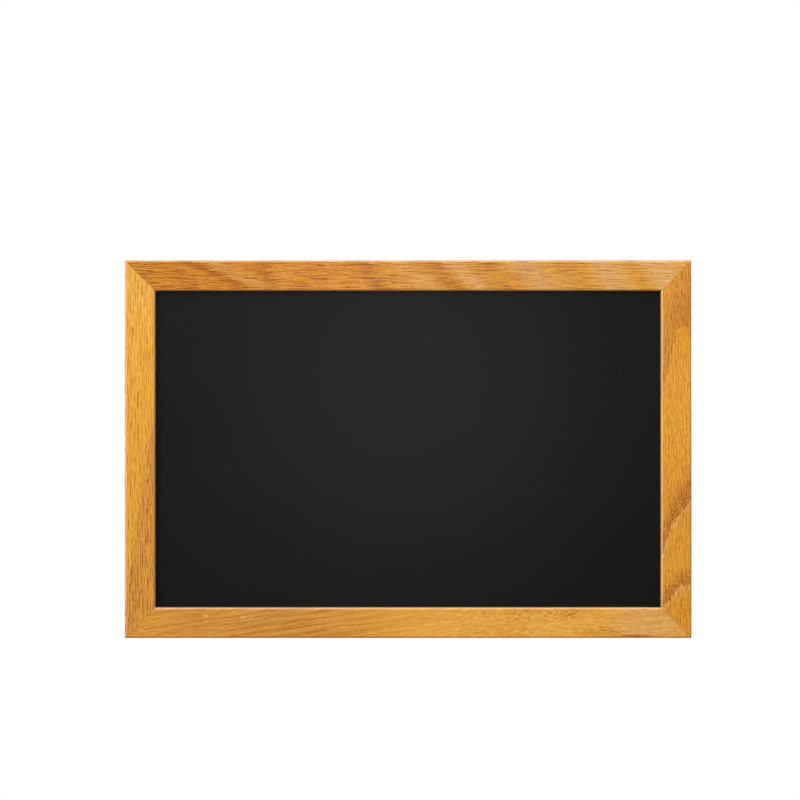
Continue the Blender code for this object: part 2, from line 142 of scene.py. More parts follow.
# Screen colours from dark to pale: golden late wood, the bottom rail's duller kind, and porous early wood
LATE_WOOD = [
    (0.0, (146, 78, 6)),
    (0.25, (184, 108, 16)),
    (0.5, (213, 142, 36)),
    (0.75, (231, 165, 53)),
    (1.0, (247, 190, 86)),
]
DULL_LATE_WOOD = [
    (0.0, (146, 80, 10)),
    (0.25, (186, 110, 26)),
    (0.5, (213, 146, 51)),
    (0.75, (231, 161, 58)),
    (1.0, (246, 181, 82)),
]
EARLY_WOOD = [
    (0.0, (142, 81, 18)),
    (0.25, (180, 111, 36)),
    (0.5, (208, 144, 70)),
    (0.75, (224, 167, 102)),
    (1.0, (239, 189, 128)),
]
CHALKBOARD_PAINT = [(0.0, (6, 6, 6)), (0.5, (9, 9, 9)), (1.0, (13, 13, 13))]
HARDBOARD = [(0.0, (74, 47, 28)), (0.35, (100, 67, 42)), (0.6, (116, 81, 52)), (1.0, (146, 108, 74))]
FIBREBOARD = [(0.0, (120, 90, 58)), (0.5, (166, 132, 92)), (1.0, (198, 168, 128))]
ZINC_STEEL = [(0.0, (168, 170, 173)), (0.5, (196, 198, 200)), (1.0, (220, 221, 222))]
NAIL_STEEL = [(0.0, (96, 95, 94)), (0.5, (128, 127, 126)), (1.0, (156, 155, 153))]
RUBBER = [(0.0, (26, 26, 27)), (0.5, (38, 38, 40)), (1.0, (60, 60, 62))]
PALE_FLOOR = (236, 235, 233)

# The front arrises get a colour that is partly rubbed wear and partly painted highlight: whitish and less
# saturated like the lacquer's highlight, and darker in red, which tones down the lights' highlight there.
# Where that sets in and is full, in millimetres from the face's middle and behind its front, and how much
RUBBED_AND_HIGHLIGHT_EDGE = (210, 158, 88)
RUBBED_AND_HIGHLIGHT_FROM_MIDDLE = (14.0, 16.0)
RUBBED_AND_HIGHLIGHT_DEPTH = (3.5, 2.0)
RUBBED_AND_HIGHLIGHT_SHARE = 0.55

# What the four grains share. Sizes are in millimetres along, across and deep.
SWAY_SIZE = (95, 26, 26)
WIGGLE_SIZE = (20, 7, 7)
RIPPLE_SIZE = (8, 3, 3)
DRIFT_SIZE = (70, 8, 8)
FIBRE_SIZE = (6, 1.05)
CLUSTER_SIZE = (50, 9)
WISP_SIZE = (8, 1.7)
WAVER_SIZE = (40, 6)
DASH_WIDTH = 2.0
WIGGLE_REACH = 0.6
WAVER_REACH = 10
RING_WANDER = 0.9
CLUSTERING = 0.3
SILVER_LIFT = 0.2

# The levels between which the comb's lines, their dashes, the rings and patches of figure come in
COMB_LEVELS = (-0.1, 1.0)
DASH_LEVELS = (0.4, 0.56)
RING_LEVELS = (0.4, 0.0)
PATCH_LEVELS = (-0.15, 0.1)

# How far the grain shifts across for each millimetre of depth, and how fast a fleck fades with depth
DEPTH_SLANT = 0.6
FLECK_DEPTH_FALL = 0.02

# The oak's lacquer, and the roughness of the wood under it
LACQUER = {"Coat Weight": 1.0, "Coat Roughness": 0.22, "Coat IOR": 1.6}
OAK_ROUGHNESS = 0.46
PORE_ROUGHNESS = 0.6
FIBRE_ROUGHNESS = 0.05

# Soft lights aimed at the board's middle: place, width and height, and radiance
SOFTBOXES = {
    "left_softbox": ((-2.15, -1.7, 0.35), (1.5, 2.4), 2.9),
    "top_softbox": ((-0.35, -1.75, 2.0), (2.4, 1.5), 3.0),
    "front_softbox": ((0.02, -2.9, 0.066), (0.6, 0.6), 1.0),
    "back_left_softbox": ((1.9, 1.9, 1.0), (1.6, 2.0), 2.8),
    "back_top_softbox": ((-0.8, 1.5, 2.2), (2.2, 1.4), 2.4),
    "back_low_softbox": ((0.3, 1.2, -0.85), (1.6, 0.25), 2.4),
}

# The room's light by the direction's x, y and z: where each step starts and ends, and its strength there
ROOM_BY_X = (-0.8, 0.8, 1.15, 0.85)
ROOM_BY_Y = (-0.99, -0.85, 0.0, 1.0)
ROOM_BY_Z = (-0.6, 0.6, 0.23, 0.64)
FLOOR_RADIUS = 3.0
FLOOR_Z = -1.0
CAMERA_LENS = 100
CAMERA_SENSOR_WIDTH = 36
CAMERA_PLACE = (-0.0086, FRONT_Y - 2.35, 0.052)


# Shader nodes


def linear(level):
    """A screen level from 0 to 255 as linear light."""
    share = level / 255
    return share / 12.92 if share <= 0.04045 else ((share + 0.055) / 1.055) ** 2.4


def colour(levels):
    """A screen colour of three levels as a linear one with alpha."""
    return (*(linear(level) for level in levels), 1.0)


def grey(value):
    """A plain number as a colour."""
    return (value, value, value, 1.0)


class Field:
    """A value that varies over a surface: a shader node's output, with arithmetic that adds nodes."""

    def __init__(self, surface, socket):
        self.surface = surface
        self.socket = socket

    def __add__(self, other):
        return self.surface.math("ADD", self, other)

    def __sub__(self, other):
        return self.surface.math("SUBTRACT", self, other)

    def __mul__(self, other):
        return self.surface.math("MULTIPLY", self, other)


class Surface:
    """A material whose fields are functions of the piece's own coordinates."""

    def __init__(self, name, roughness=0.5, metallic=0.0, specular=0.5):
        self.material = bpy.data.materials.new(name)
        self.material.use_nodes = True
        self.tree = self.material.node_tree
        self.shader = self.tree.nodes["Principled BSDF"]
        self.shader.inputs["Roughness"].default_value = roughness
        self.shader.inputs["Metallic"].default_value = metallic
        self.shader.inputs["Specular IOR Level"].default_value = specular

    def node(self, kind):
        return self.tree.nodes.new("ShaderNode" + kind)

    def put(self, socket, value):
        """Feeds a field or a plain value to a node's input."""
        if isinstance(value, Field):
            self.tree.links.new(value.socket, socket)
        else:
            socket.default_value = value

    def math(self, operation, *values):
        node = self.node("Math")
        node.operation = operation
        for socket, value in zip(node.inputs, values):
            self.put(socket, value)
        return Field(self, node.outputs[0])

    def place(self):
        """The point's x, y and z in millimetres."""
        coordinates = self.node("TexCoord")
        parts = self.node("SeparateXYZ")
        self.tree.links.new(coordinates.outputs["Object"], parts.inputs[0])
        return [Field(self, socket) * 1000 for socket in parts.outputs]

    def vector(self, x, y, z):
        node = self.node("CombineXYZ")
        for socket, value in zip(node.inputs, (x, y, z)):
            self.put(socket, value)
        return Field(self, node.outputs[0])

    def point(self):
        """The point's place as one vector in millimetres."""
        return self.vector(*self.place())

    def counted(self, vector, lengths, seed):
        """A vector counted in these millimetres along each direction, and moved on by the seed."""
        mapping = self.node("Mapping")
        self.put(mapping.inputs["Vector"], vector)
        scales = [1 / length for length in lengths] + [1.0]
        mapping.inputs["Scale"].default_value = scales[:3]
        mapping.inputs["Location"].default_value = (seed, 1.7 * seed, 2.3 * seed)
        return Field(self, mapping.outputs[0])

    def noise(self, vector, lengths, seed, detail=1.0, roughness=0.5, distortion=0.0):
        """Smooth noise about 0.5, with these lengths in millimetres along each direction, two or three."""
        node = self.node("TexNoise")
        node.noise_dimensions = f"{len(lengths)}D"
        self.put(node.inputs["Vector"], self.counted(vector, lengths, seed))
        node.inputs["Scale"].default_value = 1.0
        node.inputs["Detail"].default_value = detail
        node.inputs["Roughness"].default_value = roughness
        node.inputs["Distortion"].default_value = distortion
        return Field(self, node.outputs["Fac"])

    def cells(self, vector, lengths, seed):
        """The distance to the nearest of some scattered points, in a plane of cells of these millimetres."""
        node = self.node("TexVoronoi")
        node.voronoi_dimensions = "2D"
        self.put(node.inputs["Vector"], self.counted(vector, lengths, seed))
        node.inputs["Scale"].default_value = 1.0
        return Field(self, node.outputs["Distance"])

    def smooth(self, value, low, high):
        """A smooth step from 0 at low to 1 at high, either way round."""
        node = self.node("MapRange")
        node.interpolation_type = "SMOOTHSTEP"
        self.put(node.inputs["Value"], value)
        node.inputs["From Min"].default_value = low
        node.inputs["From Max"].default_value = high
        return Field(self, node.outputs[0])

    def ramp(self, value, stops, colour_of=colour):
        """A colour read off these stops, each a place and what colour_of turns into a colour."""
        node = self.node("ValToRGB")
        self.put(node.inputs[0], value)
        elements = node.color_ramp.elements
        while len(elements) < len(stops):
            elements.new(1.0)
        for element, (place, level) in zip(elements, stops):
            element.position = place
            element.color = colour_of(level)
        return Field(self, node.outputs[0])

    def mix(self, share, first, second, blend="MIX"):
        node = self.node("Mix")
        node.data_type = "RGBA"
        node.blend_type = blend
        self.put(node.inputs[0], share)
        self.put(node.inputs[6], first)
        self.put(node.inputs[7], second)
        return Field(self, node.outputs[2])

    def set_colour(self, value):
        self.put(self.shader.inputs["Base Color"], value)

    def set_roughness(self, value):
        self.put(self.shader.inputs["Roughness"], value)

    def set_bump(self, height, depth, strength):
        """Relief this many millimetres deep."""
        node = self.node("Bump")
        node.inputs["Distance"].default_value = depth / 1000
        node.inputs["Strength"].default_value = strength
        self.put(node.inputs["Height"], height)
        self.tree.links.new(node.outputs[0], self.shader.inputs["Normal"])


# Oak


def zone(oak, place, ragged, spot):
    """A ragged band across the face, from 0 to 1.

    spot is the place of its line along the member, where across the face the line bends, its lean outside
    and inside that bend, the band's reach before and after the line, and its strength.
    """
    along, across, _ = place
    middle, bend, outer_lean, inner_lean, before, after, strength = spot
    outside = oak.math("MINIMUM", across - bend, 0.0)
    inside = oak.math("MAXIMUM", across - bend, 0.0)
    from_line = along - middle - outside * outer_lean - inside * inner_lean + ragged
    return oak.smooth(from_line, -before, 0) * oak.smooth(from_line, after, 0) * strength


def zones(oak, place, ragged, spots):
    """Several bands together, from 0 to 1."""
    total = 0.0
    for spot in spots:
        total = zone(oak, place, ragged, spot) + total
    return oak.math("MINIMUM", total, 1.0)


def fleck(oak, place, spot):
    """A lens-shaped fleck, from 0 to 1.

    spot is its place along and across, its half length, half width and lean.
    """
    along, across, depth = place
    middle_along, middle_across, half_length, half_width, lean = spot
    u = (along - middle_along) * (1 / half_length)
    v = (across - middle_across - (along - middle_along) * lean) * (1 / half_width)
    distance = u * u + v * v + depth * depth * FLECK_DEPTH_FALL
    return oak.smooth(distance, 1.0, 0.1)


def oak_material(name, length, place_of, grain):
    """Lacquered oak for one member, its grain running along it, with the keys listed above GRAINS."""
    oak = Surface(name, specular=0.2)
    for socket, value in LACQUER.items():
        oak.shader.inputs[socket].default_value = value
    x, y, z = oak.place()
    along, across = place_of(x, z)
    depth = y - 1000 * FRONT_Y
    seed = grain["seed"]
    plain_place = (along, across, depth)
    plain = oak.vector(*plain_place)

    # The fibres sway and wiggle, and may lean. Those on the sides and back follow on from the front's.
    sway = oak.noise(plain, SWAY_SIZE, seed) - 0.5
    wiggle = oak.noise(plain, WIGGLE_SIZE, seed + 1) - 0.5
    lean, lean_end = grain["lean"]
    leaning = oak.math("MINIMUM", along, lean_end) * lean
    fibre_across = across - leaning + sway * grain["sway"] + wiggle * WIGGLE_REACH
    if grain["ripple"]:
        ripple, ripple_start, ripple_full = grain["ripple"]
        rippled = oak.smooth(along, ripple_start, ripple_full) * ripple
        fibre_across = fibre_across + (oak.noise(plain, RIPPLE_SIZE, seed + 2) - 0.5) * rippled
    drift = oak.noise(oak.vector(along, fibre_across, depth), DRIFT_SIZE, seed + 7) - 0.5
    skin_across = fibre_across + depth * DEPTH_SLANT
    skin = oak.vector(along, skin_across, 0)

    lines = oak.noise(skin, grain["line_size"], seed + 3, detail=0) - 0.5
    fibres = oak.noise(skin, FIBRE_SIZE, seed + 5, detail=0) - 0.5
    clusters = oak.noise(skin, CLUSTER_SIZE, seed + 9, detail=0) - 0.5

    # A fine comb of nearly even dark lines, broken into dashes
    spacing, dash_length, comb_strength = grain["comb"]
    waver = oak.noise(skin, WAVER_SIZE, seed + 15, detail=0) * WAVER_REACH
    comb = oak.smooth(oak.math("SINE", skin_across * (math.tau / spacing) + waver), *COMB_LEVELS)
    dashes = oak.smooth(oak.noise(skin, (dash_length, DASH_WIDTH), seed + 17, detail=0), *DASH_LEVELS)

    ragged = drift * grain["ragged"] + (lines + fibres) * grain["jagged"]
    flames = zones(oak, plain_place, ragged, grain["flames"])
    blushes = zones(oak, plain_place, ragged, grain["blushes"])
    gritty = zones(oak, plain_place, ragged, grain["gritty"])

    shade = lines * grain["lines"] + fibres * grain["fibres"] + drift * grain["drift"]
    shade = shade - comb * dashes * comb_strength
    shade = shade + oak.ramp(along * (0.001 / length) + 0.5, grain["tone"], grey)
    if grain["rings"]:
        spacing, strength, low, high = grain["rings"]
        ring = oak.math("PINGPONG", fibre_across * (1 / spacing) + drift * RING_WANDER, 0.5)
        ring_lines = oak.smooth(ring, *RING_LEVELS) * oak.smooth(along, high, low)
        shade = shade - ring_lines * strength * oak.smooth(drift, *PATCH_LEVELS)
    if grain["wisps"]:
        strength, wisps_start, wisps_full = grain["wisps"]
        wisps = oak.noise(skin, WISP_SIZE, seed + 19) - 0.5
        shade = shade + wisps * oak.smooth(along, wisps_start, wisps_full) * strength
    shade = shade - flames * grain["flame_depth"] + blushes * grain["blush_lift"]

    # Pores: long open ones, and short ones that crowd in the gritty zones and the specks
    crowding = clusters * CLUSTERING - flames * grain["flame_pores"]
    *pore_size, radius, long_strength = grain["long_pores"]
    long_pores = oak.smooth(oak.cells(skin, pore_size, seed + 11) + crowding, radius, radius / 2)
    *pore_size, radius, short_strength, gritty_strength = grain["short_pores"]
    short_pores = oak.smooth(oak.cells(skin, pore_size, seed + 13), radius, radius / 2)
    gritty = gritty * gritty_strength
    for *spot, strength in grain["specks"]:
        gritty = gritty + fleck(oak, (along + ragged, across, depth), spot) * strength
    pores = long_pores * long_strength + short_pores * (gritty + short_strength)
    shade = shade - pores

    for *spot, lift in grain["flecks"]:
        shade = shade + fleck(oak, plain_place, spot) * lift
    early_share = oak.math("MAXIMUM", blushes, flames * grain["flame_early"])
    if grain["silver"]:
        silver = zones(oak, plain_place, ragged, grain["silver"]) * oak.smooth(fibres, *PATCH_LEVELS)
        shade = shade + silver * SILVER_LIFT
        early_share = oak.math("MAXIMUM", early_share, silver)

    late = oak.ramp(shade, grain["late_wood"])
    early = oak.ramp(shade, EARLY_WOOD)
    wood = oak.mix(1.0, oak.mix(early_share, late, early), (*grain["tint"], 1), "MULTIPLY")

    # The front arrises' colour, partly rubbed wear and partly a painted highlight, mixed over the wood
    from_middle = oak.math("ABSOLUTE", across - 500 * FRAME_FACE)
    rubbed = oak.smooth(from_middle, *RUBBED_AND_HIGHLIGHT_FROM_MIDDLE) * oak.smooth(depth, *RUBBED_AND_HIGHLIGHT_DEPTH)
    oak.set_colour(oak.mix(rubbed * RUBBED_AND_HIGHLIGHT_SHARE, wood, colour(RUBBED_AND_HIGHLIGHT_EDGE)))
    oak.set_roughness(pores * PORE_ROUGHNESS + fibres * FIBRE_ROUGHNESS + OAK_ROUGHNESS)
    oak.set_bump(fibres * 0.2 - pores * 3, depth=0.03, strength=0.5)
    return oak.material


# Each member's along and across, from the piece's x and z


def top_rail_place(x, z):
    return x, z * -1 + 500 * BOARD_HEIGHT


def bottom_rail_place(x, z):
    return x, z + 500 * BOARD_HEIGHT


def left_stile_place(x, z):
    return z * -1, x + 500 * BOARD_WIDTH


def right_stile_place(x, z):
    return z * -1, x * -1 + 500 * BOARD_WIDTH


# The keys of a grain. Lengths are in millimetres, and strengths in shades from 0, dark, to 1, pale. Along a
# rail is to the right, and along a stile is downwards, from the board's middle. Across is from the member's
# outer edge inwards.
#   seed: where its noises start
#   lean: how far the fibres climb across for each millimetre along, and where along that stops
#   sway: how far they swing
#   ripple: how far they wave, and where along that sets in and is full
#   tint, late_wood: what the colour is multiplied by, and its palette
#   line_size: length and width of the long lines
#   lines, fibres, drift: strength of the long lines, of short ones and of broad streaks
#   comb: the fine lines' spacing, their dashes' length, and their strength
#   wisps: strength of more short streaks, and where along they set in and are full
#   long_pores: spacing along and across, radius and strength
#   short_pores: spacing, radius, strength everywhere and what a gritty place adds
#   flame_pores: how much the flames crowd the long pores
#   ragged, jagged: how far the zones' edges wander with the drift, and with the lines and fibres
#   tone: the member's shade along its length, from 0 at its start to 1 at its end
#   flames, blushes, gritty, silver: zones of dark late wood, pale early wood, short pores, bright figure
#   flame_depth, flame_early, blush_lift: how much flames darken and are early wood, and blushes lighten
#   rings: spacing and strength of the growth lines, and where along they are full and are gone
#   specks, flecks: gritty ones, each with its strength, and pale or dark ones, each with its lift
PLAIN_GRAIN = {
    "lean": (0.0, 0.0),
    "ripple": None,
    "tint": (1.0, 1.0, 1.0),
    "late_wood": LATE_WOOD,
    "line_size": (24, 1.15),
    "wisps": None,
    "gritty": [],
    "flame_early": 0.0,
    "rings": None,
    "specks": [],
    "silver": [],
    "flecks": [],
}
GRAINS = {
    "frame_top_rail": {
        "seed": 3.1,
        "sway": 2.2,
        "lines": 0.22,
        "fibres": 0.2,
        "comb": (2.6, 26, 0.36),
        "drift": 0.0,
        "long_pores": (50, 1.8, 0.24, 0.13),
        "short_pores": (12, 1.5, 0.25, 0.16, 0.0),
        "flame_pores": 0.04,
        "ragged": 14,
        "jagged": 12,
        "tone": [(0, 0.42), (0.12, 0.46), (0.3, 0.51), (0.5, 0.59), (0.7, 0.6), (0.85, 0.69), (1, 0.8)],
        "flames": [
            (-243, 16, 1.15, 1.15, 20, 18, 0.35),
            (-197, 16, 2.8, 1.2, 16, 14, 1.0),
            (-151, 16, 0.3, 0.3, 12, 12, 0.7),
            (-100, 16, 0.6, -0.6, 20, 20, 0.35),
            (-39, 16, 0.8, 0.8, 18, 16, 1.0),
            (39, 16, 1.1, 1.1, 26, 16, 0.7),
            (90, 16, 0.6, 0.6, 22, 20, 0.35),
            (175, 16, 0.8, 0.8, 22, 20, 0.35),
            (240, 16, 0.8, 0.8, 20, 20, 0.2),
        ],
        "blushes": [
            (-179, 16, 1.6, 1.6, 24, 24, 0.7),
            (-134, 16, 0.3, 0.3, 10, 14, 0.3),
            (6, 16, 1.2, 1.2, 24, 20, 0.45),
            (62, 16, 1.2, 1.2, 18, 22, 0.9),
            (133, 16, 0.8, 0.8, 30, 30, 1.0),
            (168, 16, 0.6, 0.6, 30, 34, 0.35),
            (210, 16, 0.5, 0.5, 24, 40, 1.0),
            (268, 16, 0.9, 0.9, 30, 60, 0.9),
        ],
        "flame_depth": 0.22,
        "blush_lift": 0.12,
        "flecks": [(-85.8, 4.8, 0.55, 2.9, 0.0, 0.28)],
    },
    "frame_bottom_rail": {
        "seed": 8.4,
        "lean": (0.14, 40),
        "sway": 4.0,
        "ripple": (1.6, 0, 90),
        "late_wood": DULL_LATE_WOOD,
        "line_size": (44, 1.6),
        "lines": 0.3,
        "fibres": 0.22,
        "comb": (2.8, 16, 0.08),
        "drift": 0.45,
        "long_pores": (22, 2.0, 0.25, 0.08),
        "short_pores": (8, 1.2, 0.34, 0.04, 0.5),
        "flame_pores": 0.05,
        "ragged": 20,
        "jagged": 10,
        "gritty": [
            (80, 16, 0.0, 0.0, 90, 10, 0.35),
            (130, 16, 0.0, 0.0, 46, 10, 0.3),
            (160, 22, 2.0, 0.0, 30, 30, 0.4),
        ],
        "tone": [(0, 0.58), (0.25, 0.53), (0.33, 0.5), (0.41, 0.64), (0.5, 0.84), (0.75, 0.92), (1, 0.78)],
        "flames": [
            (110, 16, 0.3, 0.3, 26, 20, 0.35),
            (170, 16, 0.3, 0.3, 16, 14, 0.4),
            (30, 32, 3.0, 0.0, 60, 20, 0.3),
        ],
        "blushes": [
            (-170, 16, 0.5, 0.5, 150, 150, 0.3),
            (250, 16, 0.5, 0.5, 50, 90, 0.5),
        ],
        "flame_depth": 0.16,
        "blush_lift": 0.03,
        "rings": (7.0, 0.2, -20, 60),
        "wisps": (0.55, -60, 60),
        "specks": [
            (125, 26, 46, 7.0, 0.0, 0.3),
            (168, 24, 13, 9.0, 0.0, 0.35),
            (205, 9.5, 36, 4.0, -0.08, 0.35),
        ],
        "flecks": [
            (-213.7, 23.6, 3.6, 2.0, -0.2, 0.36),
            (-184, 27.7, 3.4, 1.5, 0.0, 0.24),
            (-175.6, 22.5, 4.6, 1.6, 0.15, 0.28),
            (-282.5, 8.8, 5.0, 1.8, -0.1, 0.26),
            (-142.8, 20.4, 3.0, 1.4, 0.0, 0.24),
            (-66.7, 11.9, 9.0, 1.2, 0.15, 0.2),
            (228, 9.8, 3.4, 1.3, 0.0, 0.24),
            (229, 10.2, 7, 1.6, 0.0, 0.2),
            (205, 8.6, 30, 0.9, -0.08, -0.2),
            (130, 3.2, 44, 1.3, 0.0, -0.22),
            (204, 5.0, 34, 4.5, 0.0, -0.2),
            (241, 2.6, 24, 1.6, 0.0, -0.4),
        ],
    },
    "frame_left_stile": {
        "seed": 12.7,
        "sway": 2.0,
        "lines": 0.2,
        "fibres": 0.2,
        "comb": (2.6, 12, 0.34),
        "drift": 0.1,
        "long_pores": (36, 1.5, 0.24, 0.18),
        "short_pores": (10, 1.3, 0.24, 0.1, 0.12),
        "flame_pores": 0.02,
        "ragged": 16,
        "jagged": 14,
        "gritty": [(0, 28, -7.0, 0.0, 44, 500, 1.0)],
        "tone": [(0, 0.74), (0.1, 0.8), (0.25, 0.79), (0.5, 0.71), (0.75, 0.71), (1, 0.68)],
        "flames": [(0, 28, -7.0, 0.0, 44, 500, 1.0)],
        "flame_early": 0.45,
        "blushes": [(-200, 16, 0.0, 0.0, 10, 100, 0.25)],
        "flame_depth": 0.16,
        "blush_lift": 0.06,
    },
    "frame_right_stile": {
        "seed": 17.9,
        "sway": 2.0,
        "tint": (1.05, 1.0, 0.95),
        "lines": 0.22,
        "fibres": 0.24,
        "comb": (2.6, 8, 0.26),
        "drift": 0.08,
        "long_pores": (20, 1.6, 0.25, 0.14),
        "short_pores": (4.5, 1.5, 0.27, 0.14, 0.3),
        "flame_pores": 0.06,
        "ragged": 4,
        "jagged": 5,
        "gritty": [
            (-128.5, 14.8, 0.2, 4.3, 100, 2, 0.4),
            (80, 21.8, 1.3, 3.3, 44, 2, 0.6),
            (142, 11, 0.0, 1.2, 22, 2, 0.8),
        ],
        "tone": [(0, 0.69), (0.15, 0.69), (0.3, 0.78), (0.5, 0.76), (0.62, 0.67), (0.8, 0.73), (1, 0.66)],
        "flames": [
            (-128.5, 14.8, 0.2, 4.3, 100, 2, 0.6),
            (80, 21.8, 1.3, 3.3, 44, 2, 0.9),
            (142, 11, 0.0, 1.2, 22, 2, 0.9),
        ],
        "flame_early": 0.5,
        "blushes": [(-150, 14.8, 0.2, 4.3, 120, 24, 0.35)],
        "flame_depth": 0.3,
        "blush_lift": 0.0,
        "specks": [
            (139, 7, 9, 9, 0.0, 0.5),
            (145, 20, 12, 5, 0.6, 0.4),
            (54, 10, 14, 8, 0.0, 0.3),
            (75, 22, 14, 5, 0.2, 0.25),
        ],
        "silver": [(85, 21.8, 1.3, 3.3, 10, 7, 0.8), (147, 11, 0.0, 1.2, 7, 6, 0.7)],
    },
}


# Other materials


def paint_material():
    """Chalkboard paint: near black and matt, with the fine tooth chalk needs and a trace of wiped dust."""
    paint = Surface("chalkboard_paint", specular=0.47)
    place = paint.point()
    tooth = paint.noise(place, (1.1, 1.1, 1.1), 1.0, detail=2.0) - 0.5
    haze = paint.noise(place, (120, 90, 90), 5.0, detail=3.0, roughness=0.6) - 0.5
    wiped = paint.noise(place, (60, 9, 5), 9.0, detail=2.0) - 0.5
    dust = haze * 0.5 + wiped * 0.25 + tooth * 0.5 + 0.5
    paint.set_colour(paint.ramp(dust, CHALKBOARD_PAINT))
    paint.set_roughness(tooth * 0.06 + haze * 0.03 + 0.3)
    paint.set_bump(tooth, depth=0.004, strength=0.5)
    return paint.material


def hardboard_material():
    """Hardboard, its smooth side out: pressed brown fibres that lie every way, with a faint mottle."""
    board = Surface("hardboard", specular=0.3)
    x, y, z = board.place()
    place = board.vector(x, y, z)
    mottle = board.noise(place, (45, 45, 45), 2.0, detail=3.0) - 0.5
    fibres = 0.0
    for angle in (10, 55, 100, 145):
        run = math.radians(angle)
        along = x * math.cos(run) + z * math.sin(run)
        across = z * math.cos(run) - x * math.sin(run)
        strands = board.noise(board.vector(along, across, 0), (5.0, 0.8), angle, distortion=0.6)
        fibres = strands - 0.5 + fibres
    specks = board.smooth(board.noise(place, (1.6, 1.6, 1.6), 9.0), 0.66, 0.74)
    shade = mottle * 0.3 + fibres * 0.55 + 0.52 - specks * 0.35
    board.set_colour(board.ramp(shade, HARDBOARD))
    board.set_roughness(fibres * 0.15 + 0.52)
    board.set_bump(fibres, depth=0.02, strength=0.5)
    return board.material


def fibreboard_material():
    """Fibreboard: pale felted wood dust, rougher at its sawn edges."""
    board = Surface("fibreboard", specular=0.25)
    place = board.point()
    dust = board.noise(place, (1.1, 1.1, 1.1), 3.0, detail=3.0, roughness=0.65)
    cloud = board.noise(place, (35, 35, 35), 6.0, detail=2.0)
    shade = (dust - 0.5) * 0.9 + (cloud - 0.5) * 0.5 + 0.5
    board.set_colour(board.ramp(shade, FIBREBOARD))
    board.set_roughness((dust - 0.5) * 0.2 + 0.85)
    board.set_bump(dust, depth=0.05, strength=0.6)
    return board.material


def steel_material(name, stops, roughness, scratch):
    """Plated steel, slightly clouded, with fine rubbed scratches."""
    steel = Surface(name, metallic=1.0)
    place = steel.point()
    cloud = steel.noise(place, (3.2, 3.2, 3.2), 4.0, detail=3.0, roughness=0.6)
    fine = steel.noise(place, (0.35, 0.35, 0.35), 8.0, detail=2.0)
    scratches = steel.noise(place, (0.16, 0.5, 4.5), 12.0, detail=2.0, distortion=0.4)
    shade = (cloud - 0.5) * 0.8 + (fine - 0.5) * 0.35 + 0.5
    steel.set_colour(steel.ramp(shade, stops))
    steel.set_roughness((cloud - 0.5) * 0.25 + (scratches - 0.5) * scratch + roughness)
    steel.set_bump(scratches * 0.5 + fine * 0.5, depth=0.006, strength=0.5)
    return steel.material


def rubber_material():
    """Moulded rubber, dull and faintly bloomed."""
    rubber = Surface("rubber", specular=0.35)
    place = rubber.point()
    bloom = rubber.noise(place, (3.5, 3.5, 3.5), 2.0, detail=3.0)
    skin = rubber.noise(place, (0.25, 0.25, 0.25), 5.0, detail=2.0)
    shade = (bloom - 0.5) * 0.8 + (skin - 0.5) * 0.4 + 0.5
    rubber.set_colour(rubber.ramp(shade, RUBBER))
    rubber.set_roughness((bloom - 0.5) * 0.3 + 0.72)
    rubber.set_bump(skin, depth=0.02, strength=0.5)
    return rubber.material


# Meshes


def arc(centre, radius, start, end, steps):
    """Points along an arc in a plane, both ends included. Angles are in degrees."""
    angles = [math.radians(start + (end - start) * step / steps) for step in range(steps + 1)]
    return [(centre[0] + radius * math.cos(a), centre[1] + radius * math.sin(a)) for a in angles]


def prism(points, offset):
    """A closed solid: the face through these points, carried along offset."""
    solid = bmesh.new()
    face = solid.faces.new([solid.verts.new(point) for point in points])
    carried = bmesh.ops.extrude_face_region(solid, geom=[face])["geom"]
    moved = [item for item in carried if isinstance(item, bmesh.types.BMVert)]
    bmesh.ops.translate(solid, vec=offset, verts=moved)
    bmesh.ops.recalc_face_normals(solid, faces=solid.faces)
    return solid


def turned(profile, steps):
    """A solid turned about Z from a profile of radius and height that starts and ends on the axis."""
    solid = bmesh.new()
    points = [solid.verts.new((radius, 0, height)) for radius, height in profile]
    edges = [solid.edges.new(pair) for pair in zip(points, points[1:])]
    bmesh.ops.spin(
        solid,
        geom=points + edges,
        cent=(0, 0, 0),
        axis=(0, 0, 1),
        angle=math.tau,
        steps=steps,
        use_merge=True,
    )
    bmesh.ops.remove_doubles(solid, verts=solid.verts, dist=WELD_DISTANCE)
    bmesh.ops.recalc_face_normals(solid, faces=solid.faces)
    return solid


def screw_hole(low, high, steps):
    """A cutter for a screw's hole about Z, from low to high."""
    return turned([(0, low), (SCREW_HOLE_RADIUS, low), (SCREW_HOLE_RADIUS, high), (0, high)], steps)


def joined(solids):
    """Several solids as the separate shells of one."""
    whole = bmesh.new()
    for solid in solids:
        part = bpy.data.meshes.new("shell")
        solid.to_mesh(part)
        solid.free()
        whole.from_mesh(part)
        bpy.data.meshes.remove(part)
    return whole


def mesh_of(name, solid):
    mesh = bpy.data.meshes.new(name)
    solid.to_mesh(mesh)
    solid.free()
    return mesh


def shown(name, data):
    """A mesh, light or camera put into the scene as an object."""
    item = bpy.data.objects.new(name, data)
    bpy.context.scene.collection.objects.link(item)
    return item


